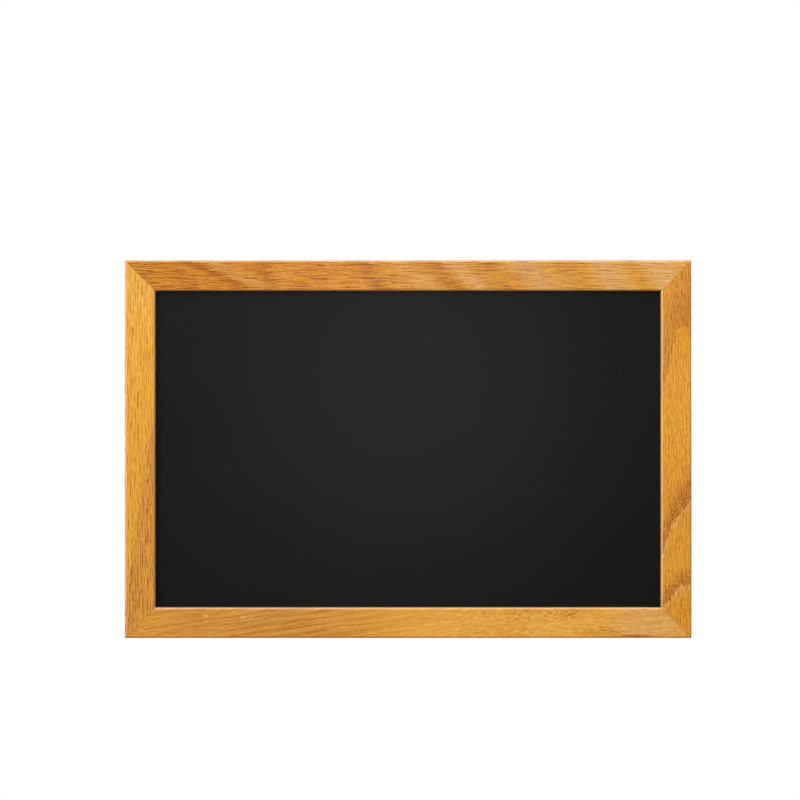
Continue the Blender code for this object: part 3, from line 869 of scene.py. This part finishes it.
def cut_mesh(name, mesh, cutter_solid, arris=0.0):
    """A mesh with the cutter's shells cut out of it, its sharp edges then eased by arris."""
    item = shown(name, mesh)
    cutter = shown(name + "_cutter", mesh_of(name + "_cutter", cutter_solid))
    boolean = item.modifiers.new("cut", "BOOLEAN")
    boolean.operation = "DIFFERENCE"
    boolean.object = cutter
    if arris:
        bevel = item.modifiers.new("arris", "BEVEL")
        bevel.width = arris
        bevel.segments = 2
        bevel.limit_method = "ANGLE"
        bevel.angle_limit = math.radians(BEVEL_ANGLE)
        bevel.use_clamp_overlap = True
    graph = bpy.context.evaluated_depsgraph_get()
    mesh = bpy.data.meshes.new_from_object(item.evaluated_get(graph))
    bpy.data.objects.remove(item)
    bpy.data.objects.remove(cutter)
    return mesh


def on_back(mesh, x, z, lift=0.0, turn=0.0):
    """Moves a mesh made about the origin, with Z out of the back, to this x and z on the rear face."""
    mesh.transform(TO_BACK @ Matrix.Translation((-x, z, lift)) @ Matrix.Rotation(turn, 4, "Z"))
    return mesh


def add_piece(name, mesh, material, body, smooth_angle=SMOOTH_ANGLE):
    """A piece that stands for the CAD node whose name it has, with _look after it."""
    mesh.shade_smooth()
    mesh.set_sharp_from_angle(angle=math.radians(smooth_angle))
    mesh.materials.clear()
    mesh.materials.append(material)
    piece = shown(name + "_look", mesh)
    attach(piece, body)
    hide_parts(name)
    return piece


# Places on the back


def button_places():
    """Each turn button's name, its screw's x and z, and the way it points when closed."""
    places = []
    for rail, side in (("top", 1), ("bottom", -1)):
        for end, x in RAIL_BUTTON_X.items():
            places.append((f"{rail}_{end}", x, side * FITTING_LINE_Z, (0, -side)))
    for stile, side in (("left", -1), ("right", 1)):
        for end, z in STILE_BUTTON_Z.items():
            places.append((f"{stile}_{end}", side * FITTING_LINE_X, z, (-side, 0)))
    return places


def hanger_places():
    return [("left", -FITTING_LINE_X, HANGER_Z), ("right", FITTING_LINE_X, HANGER_Z)]


def screw_places():
    """Each screw's name, x and z, and how thick the fitting under its head is."""
    places = []
    for name, x, z, _ in button_places():
        places.append((f"turn_button_screw_{name}", x, z, TURN_BUTTON_THICKNESS))
    for name, x, z in hanger_places():
        for end, drop in HANGER_SCREW_DROPS.items():
            places.append((f"hanger_screw_{name}_{end}", x, z - drop, STRAP_THICKNESS))
    return places


def v_nail_places():
    """Each bent nail's name, the x and z of its bend, and the way from there to the middle of the frame."""
    places = []
    for rail, up in (("top", 1), ("bottom", -1)):
        for stile, across in (("left", -1), ("right", 1)):
            for end, inset in V_NAIL_INSETS.items():
                x = across * (BOARD_WIDTH / 2 - inset)
                z = up * (BOARD_HEIGHT / 2 - inset)
                places.append((f"v_nail_{rail}_{stile}_{end}", x, z, (-across, -up)))
    return places


def heading(direction):
    """The turn about the back's Z that points an item's X this way, given in the board's x and z."""
    return math.atan2(direction[1], -direction[0])


# Frame members


def moulding_section():
    """The moulding's outline: across the face from its outer edge, and back from its front."""
    front_inner = (FRAME_FACE - FRONT_ARRIS, FRONT_ARRIS)
    sight_edge = (FRAME_FACE - SIGHT_EDGE_ARRIS, LIP_THICKNESS - SIGHT_EDGE_ARRIS)
    back_outer = (BACK_ARRIS, FRAME_DEPTH - BACK_ARRIS)
    return [
        *arc((FRONT_ARRIS, FRONT_ARRIS), FRONT_ARRIS, 180, 270, 12),
        *arc(front_inner, FRONT_ARRIS, 270, 360, 12),
        *arc(sight_edge, SIGHT_EDGE_ARRIS, 0, 90, 4),
        (BACK_LAND, LIP_THICKNESS),
        (BACK_LAND, FRAME_DEPTH),
        *arc(back_outer, BACK_ARRIS, 90, 180, 6),
    ]


def v_nail_solid(x, z, inward, clearance, top):
    """A bent strip on the back, grown by clearance all round, from its foot up to top."""
    half_angle = math.radians(V_NAIL_HALF_ANGLE)
    half_thickness = V_NAIL_THICKNESS / 2 + clearance
    along = Vector((math.cos(half_angle), math.sin(half_angle)))
    across = Vector((-along.y, along.x))
    leg_end = along * (V_NAIL_LEG + clearance)
    bend = Vector((half_thickness / math.sin(half_angle), 0))
    upper = [-bend, leg_end + across * half_thickness, leg_end - across * half_thickness, bend]
    lower = [Vector((point.x, -point.y)) for point in (upper[2], upper[1])]
    foot = -(SEAT_GAP + V_NAIL_DEPTH + clearance)
    solid = prism([(*point, foot) for point in upper + lower], Vector((0, 0, top - foot)))
    turn = Matrix.Rotation(heading(inward), 3, "Z")
    bmesh.ops.rotate(solid, cent=(0, 0, 0), matrix=turn, verts=solid.verts)
    bmesh.ops.translate(solid, vec=(-x, z, 0), verts=solid.verts)
    return solid


def fixings_cutter():
    """The screw holes and nail slots in the frame's back, in the board's own coordinates."""
    shells = []
    for _, x, z, _ in screw_places():
        hole = screw_hole(-SCREW_LENGTH, CUTTER_OVERRUN, steps=32)
        bmesh.ops.translate(hole, vec=(-x, z, 0), verts=hole.verts)
        shells.append(hole)
    for _, x, z, inward in v_nail_places():
        shells.append(v_nail_solid(x, z, inward, V_NAIL_SLOT_CLEARANCE, CUTTER_OVERRUN))
    cutter = joined(shells)
    bmesh.ops.transform(cutter, matrix=TO_BACK, verts=cutter.verts)
    return cutter


def inset(section, distance):
    """The same outline with its sides moved in by distance."""
    points = [Vector(point) for point in section]
    turning = sum(a.x * b.y - b.x * a.y for a, b in zip(points, points[1:] + points[:1]))
    inward = math.copysign(distance, turning)
    moved = []
    for index, point in enumerate(points):
        before = (point - points[index - 1]).normalized()
        after = (points[(index + 1) % len(points)] - point).normalized()
        first = Vector((-before.y, before.x))
        second = Vector((-after.y, after.x))
        moved.append(point + (first + second) * (inward / (1 + first.dot(second))))
    return moved


def member_mesh(name, length, edge, turn):
    """A length of moulding, its mitres' rims eased, its outer edge at edge and turned by turn."""
    half_length = length / 2 - MITRE_GLUE_LINE / math.sqrt(2)
    section = moulding_section()
    eased = inset(section, MITRE_ARRIS)
    outlines = [(-1, eased, 0), (-1, section, MITRE_ARRIS), (1, section, MITRE_ARRIS), (1, eased, 0)]
    solid = bmesh.new()
    rings = []
    for side, outline, back_off in outlines:
        ring = [
            solid.verts.new((side * (half_length - across - back_off), FRONT_Y + depth, across))
            for across, depth in outline
        ]
        rings.append(ring)
    for ring, following in zip(rings, rings[1:]):
        for index in range(len(ring)):
            other = (index + 1) % len(ring)
            solid.faces.new((ring[index], ring[other], following[other], following[index]))
    solid.faces.new(rings[0])
    solid.faces.new(rings[-1])
    bmesh.ops.recalc_face_normals(solid, faces=solid.faces)
    mesh = mesh_of(name, solid)
    mesh.transform(Matrix.Translation(edge) @ Matrix.Rotation(turn, 4, "Y"))
    return cut_mesh(name, mesh, fixings_cutter())


def add_frame():
    """Two rails and two stiles, each with its own grain."""
    members = [
        ("frame_top_rail", BOARD_WIDTH, (0, 0, BOARD_HEIGHT / 2), math.pi, top_rail_place),
        ("frame_bottom_rail", BOARD_WIDTH, (0, 0, -BOARD_HEIGHT / 2), 0, bottom_rail_place),
        ("frame_left_stile", BOARD_HEIGHT, (-BOARD_WIDTH / 2, 0, 0), math.pi / 2, left_stile_place),
        ("frame_right_stile", BOARD_HEIGHT, (BOARD_WIDTH / 2, 0, 0), -math.pi / 2, right_stile_place),
    ]
    for name, length, edge, turn, place_of in members:
        grain = {**PLAIN_GRAIN, **GRAINS[name]}
        material = oak_material(name.replace("frame", "oak"), length, place_of, grain)
        piece = add_piece(name, member_mesh(name, length, edge, turn), material, "board")
        flat_faces = piece.modifiers.new("flat_faces_stay_flat", "WEIGHTED_NORMAL")
        flat_faces.keep_sharp = True


# Fittings


def screw_mesh():
    """A pan-head wood screw with a cross recess, its head's seat at zero."""
    dome_rise = SCREW_HEAD_HEIGHT - SCREW_HEAD_RIM
    steps = 10
    angles = [math.pi / 2 * step / steps for step in range(steps)]
    dome = [(SCREW_HEAD_RADIUS * math.cos(a), SCREW_HEAD_RIM + dome_rise * math.sin(a)) for a in angles]
    profile = [
        (0, -SCREW_LENGTH + SEAT_GAP),
        (SCREW_SHANK_RADIUS, -SCREW_LENGTH + SEAT_GAP + SCREW_TIP_LENGTH),
        (SCREW_SHANK_RADIUS, 0),
        (SCREW_HEAD_RADIUS - SCREW_HEAD_SEAT_ARRIS, 0),
        (SCREW_HEAD_RADIUS, SCREW_HEAD_SEAT_ARRIS),
        *dome,
        (0, SCREW_HEAD_HEIGHT),
    ]
    mesh = mesh_of("pan_head_screw", turned(profile, steps=40))
    return cut_mesh("pan_head_screw", mesh, cross_recess(), CROSS_ARRIS)


def cross_recess():
    """A cross-shaped cutter that narrows as it reaches into the top of a screw's head."""
    wide = CROSS_ARM_WIDTH / 2
    quarter = [(wide, -wide), (CROSS_ARM_LENGTH, -wide), (CROSS_ARM_LENGTH, wide)]
    outline = []
    for _ in range(4):
        outline += quarter
        quarter = [(-y, x) for x, y in quarter]
    foot = SCREW_HEAD_HEIGHT - CROSS_DEPTH
    solid = prism([(x, y, foot) for x, y in outline], Vector((0, 0, CROSS_DEPTH + RECESS_OVERRUN)))
    for vertex in solid.verts:
        reach = max(abs(vertex.co.x), abs(vertex.co.y))
        if vertex.co.z < SCREW_HEAD_HEIGHT and reach > wide + WELD_DISTANCE:
            sideways = abs(vertex.co.x) == reach
            vertex.co.x *= CROSS_FOOT_LENGTH_SHARE if sideways else CROSS_FOOT_WIDTH_SHARE
            vertex.co.y *= CROSS_FOOT_WIDTH_SHARE if sideways else CROSS_FOOT_LENGTH_SHARE
    return solid


def add_screws(material):
    """Every screw on the back, each turned its own way."""
    source = screw_mesh()
    for number, (name, x, z, fitting) in enumerate(screw_places()):
        turn = math.radians(number * SCREW_TURN_STEP)
        mesh = on_back(source.copy(), x, z, SEAT_GAP + fitting + SEAT_GAP, turn)
        add_piece(name, mesh, material, "board")


def turn_button_mesh():
    """A tapered plate with a large round end about its screw hole, its rims eased."""
    side = math.degrees(math.acos((TURN_BUTTON_PIVOT_RADIUS - TURN_BUTTON_TIP_RADIUS) / TURN_BUTTON_REACH))
    tip = arc((TURN_BUTTON_REACH, 0), TURN_BUTTON_TIP_RADIUS, -side, side, 20)
    heel = arc((0, 0), TURN_BUTTON_PIVOT_RADIUS, side, 360 - side, 24)
    solid = prism([(x, y, 0) for x, y in tip + heel], Vector((0, 0, TURN_BUTTON_THICKNESS)))
    hole = screw_hole(-CUTTER_OVERRUN, PLATE_HOLE_TOP, steps=40)
    return cut_mesh("turn_button", mesh_of("turn_button", solid), hole, TURN_BUTTON_ARRIS)


def add_turn_buttons(material):
    """Every turn button, closed over the backing board. Each turns on its own body."""
    source = turn_button_mesh()
    for name, x, z, inward in button_places():
        mesh = on_back(source.copy(), x, z, SEAT_GAP, heading(inward))
        add_piece(f"turn_button_{name}", mesh, material, f"button_{name}")


def strap_mesh():
    """A strap folded round its ring's bar, its foot rounded and its screw holes cut."""
    centre = (0, KNUCKLE_OUTER_RADIUS)
    end = 180 + math.degrees(math.asin(1 - (STRAP_THICKNESS + KNUCKLE_SEAM) / KNUCKLE_OUTER_RADIUS))
    outer = arc(centre, KNUCKLE_OUTER_RADIUS, -90, end, 36)
    inner = arc(centre, KNUCKLE_INNER_RADIUS, end, -90, 36)
    side = [(-STRAP_LENGTH, 0), *outer, *inner, (-STRAP_LENGTH, STRAP_THICKNESS)]
    solid = prism([(-STRAP_WIDTH / 2, height, lift) for height, lift in side], Vector((STRAP_WIDTH, 0, 0)))
    corners = [
        edge
        for edge in solid.edges
        if all(abs(vertex.co.y + STRAP_LENGTH) < WELD_DISTANCE for vertex in edge.verts)
        and abs(edge.verts[0].co.x - edge.verts[1].co.x) < WELD_DISTANCE
    ]
    bmesh.ops.bevel(solid, geom=corners, offset=STRAP_END_RADIUS, segments=12, profile=0.5, affect="EDGES")
    holes = []
    for drop in HANGER_SCREW_DROPS.values():
        hole = screw_hole(-CUTTER_OVERRUN, PLATE_HOLE_TOP, steps=40)
        bmesh.ops.translate(hole, vec=(0, -drop, 0), verts=hole.verts)
        holes.append(hole)
    return cut_mesh("hanger_strap", mesh_of("hanger_strap", solid), joined(holes), STRAP_ARRIS)


def ring_mesh():
    """A D-ring of round wire: its bar along X at the origin, and its bow hanging below."""
    corner_x = RING_HALF_WIDTH - RING_CORNER_RADIUS
    bow_centre = (0, RING_HALF_WIDTH - RING_DROP)
    points = [
        *arc((corner_x, -RING_CORNER_RADIUS), RING_CORNER_RADIUS, 90, 0, 8),
        *arc(bow_centre, RING_HALF_WIDTH, 0, -180, 40),
        *arc((-corner_x, -RING_CORNER_RADIUS), RING_CORNER_RADIUS, 180, 90, 8),
        *[(-corner_x + 2 * corner_x * step / 8, 0) for step in range(1, 8)],
    ]
    solid = bmesh.new()
    around = 20
    rows = []
    for index, point in enumerate(points):
        before = Vector(points[index - 1])
        after = Vector(points[(index + 1) % len(points)])
        ahead = (after - before).normalized()
        outward = Vector((ahead.y, -ahead.x))
        row = []
        for step in range(around):
            angle = math.tau * step / around
            flat = Vector(point) + outward * (RING_WIRE_RADIUS * math.cos(angle))
            row.append(solid.verts.new((flat.x, flat.y, RING_WIRE_RADIUS * math.sin(angle))))
        rows.append(row)
    for row, following in zip(rows, rows[1:] + rows[:1]):
        for step in range(around):
            other = (step + 1) % around
            solid.faces.new((row[step], row[other], following[other], following[step]))
    bmesh.ops.recalc_face_normals(solid, faces=solid.faces)
    return mesh_of("hanger_ring", solid)


def add_hangers(material):
    """A strap on each stile, with its ring hanging down over it."""
    strap, ring = strap_mesh(), ring_mesh()
    for name, x, z in hanger_places():
        mesh = on_back(strap.copy(), x, z, SEAT_GAP)
        add_piece(f"hanger_strap_{name}", mesh, material, "board")
        mesh = on_back(ring.copy(), x, z, SEAT_GAP + KNUCKLE_OUTER_RADIUS)
        add_piece(f"hanger_ring_{name}", mesh, material, f"ring_{name}", RING_SMOOTH_ANGLE)


def add_v_nails(material):
    """Two bent nails in each mitre."""
    for name, x, z, inward in v_nail_places():
        solid = v_nail_solid(x, z, inward, 0, -SEAT_GAP)
        bmesh.ops.bevel(solid, geom=solid.edges, offset=V_NAIL_ARRIS, segments=1, affect="EDGES")
        add_piece(name, on_back(mesh_of(name, solid), 0, 0), material, "board")


def add_bumpers(material):
    """A tapered rubber foot near the bottom of each stile."""
    face_edge = (BUMPER_RADIUS - BUMPER_TAPER - BUMPER_ARRIS, BUMPER_THICKNESS - BUMPER_ARRIS)
    profile = [
        (0, 0),
        (BUMPER_RADIUS - BUMPER_FOOT_ARRIS, 0),
        (BUMPER_RADIUS, BUMPER_FOOT_ARRIS),
        *arc(face_edge, BUMPER_ARRIS, 0, 90, 8),
        (BUMPER_DISH_RADIUS, BUMPER_THICKNESS),
        (BUMPER_DISH_FLOOR_RADIUS, BUMPER_THICKNESS - BUMPER_DISH_DEPTH),
        (0, BUMPER_THICKNESS - BUMPER_DISH_DEPTH),
    ]
    source = mesh_of("wall_bumper", turned(profile, steps=56))
    for name, side in (("left", -1), ("right", 1)):
        mesh = on_back(source.copy(), side * FITTING_LINE_X, BUMPER_Z, SEAT_GAP)
        add_piece(f"wall_bumper_{name}", mesh, material, "board")


def paint_boards():
    """New materials for the three boards, which keep their CAD shape."""
    boards = (
        ("writing_panel", paint_material()),
        ("core_board", fibreboard_material()),
        ("backing_board", hardboard_material()),
    )
    for name, material in boards:
        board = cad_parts[name]
        board.data.materials.clear()
        board.data.materials.append(material)


# Studio


def add_softboxes():
    """Soft lights from the upper left, a small one behind the camera, and three for the board's back."""
    for name, (place, (width, height), radiance) in SOFTBOXES.items():
        light = bpy.data.lights.new(name, "AREA")
        light.shape = "RECTANGLE"
        light.size = width
        light.size_y = height
        light.energy = radiance * 4 * width * height
        item = shown(name, light)
        item.visible_camera = False
        item.location = place
        item.rotation_euler = (-Vector(place)).to_track_quat("-Z", "Y").to_euler()


def add_surround():
    """The room: white to the camera, and a dimmer light on the board, darker low down and in front."""
    world = bpy.data.worlds.new("studio_room")
    bpy.context.scene.world = world
    world.use_nodes = True
    tree = world.node_tree
    background = tree.nodes["Background"]
    background.inputs["Color"].default_value = (1, 1, 1, 1)

    def node(kind):
        return tree.nodes.new("ShaderNode" + kind)

    def combined(operation, first, second):
        item = node("Math")
        item.operation = operation
        tree.links.new(first, item.inputs[0])
        tree.links.new(second, item.inputs[1])
        return item.outputs[0]

    parts = node("SeparateXYZ")
    tree.links.new(node("TexCoord").outputs["Generated"], parts.inputs[0])
    steps = []
    for value, numbers in zip(parts.outputs, (ROOM_BY_X, ROOM_BY_Y, ROOM_BY_Z)):
        item = node("MapRange")
        item.interpolation_type = "SMOOTHSTEP"
        tree.links.new(value, item.inputs["Value"])
        for name, number in zip(("From Min", "From Max", "To Min", "To Max"), numbers):
            item.inputs[name].default_value = number
        steps.append(item.outputs[0])
    side, front, height = steps
    room = combined("MULTIPLY", combined("MULTIPLY", height, side), front)
    seen = combined("MAXIMUM", node("LightPath").outputs["Is Camera Ray"], room)
    tree.links.new(seen, background.inputs["Strength"])


def add_floor():
    """A plain pale floor below the board, which hangs at wall height. It doesn't tint the board."""
    disc = bmesh.new()
    bmesh.ops.create_circle(disc, cap_ends=True, radius=FLOOR_RADIUS, segments=96)
    floor = shown("floor", mesh_of("floor", disc))
    floor.location = (0, 0, FLOOR_Z)
    floor.visible_diffuse = False
    floor.visible_glossy = False
    plain = Surface("pale_floor", roughness=0.8)
    plain.set_colour(colour(PALE_FLOOR))
    floor.data.materials.append(plain.material)


def add_camera():
    """The photograph's camera: straight at the board from a little above its middle."""
    data = bpy.data.cameras.new("camera")
    data.lens = CAMERA_LENS
    data.sensor_width = CAMERA_SENSOR_WIDTH
    camera = shown("camera", data)
    camera.location = CAMERA_PLACE
    camera.rotation_euler = (math.pi / 2, 0, 0)
    bpy.context.scene.camera = camera


bpy.context.scene.view_settings.view_transform = "Standard"
zinc = steel_material("zinc_steel", ZINC_STEEL, roughness=0.34, scratch=0.25)
nail_steel = steel_material("nail_steel", NAIL_STEEL, roughness=0.42, scratch=0.3)
add_frame()
paint_boards()
add_v_nails(nail_steel)
add_turn_buttons(zinc)
add_hangers(zinc)
add_screws(zinc)
add_bumpers(rubber_material())
add_softboxes()
add_surround()
add_floor()
add_camera()

bpy.context.view_layer.update()
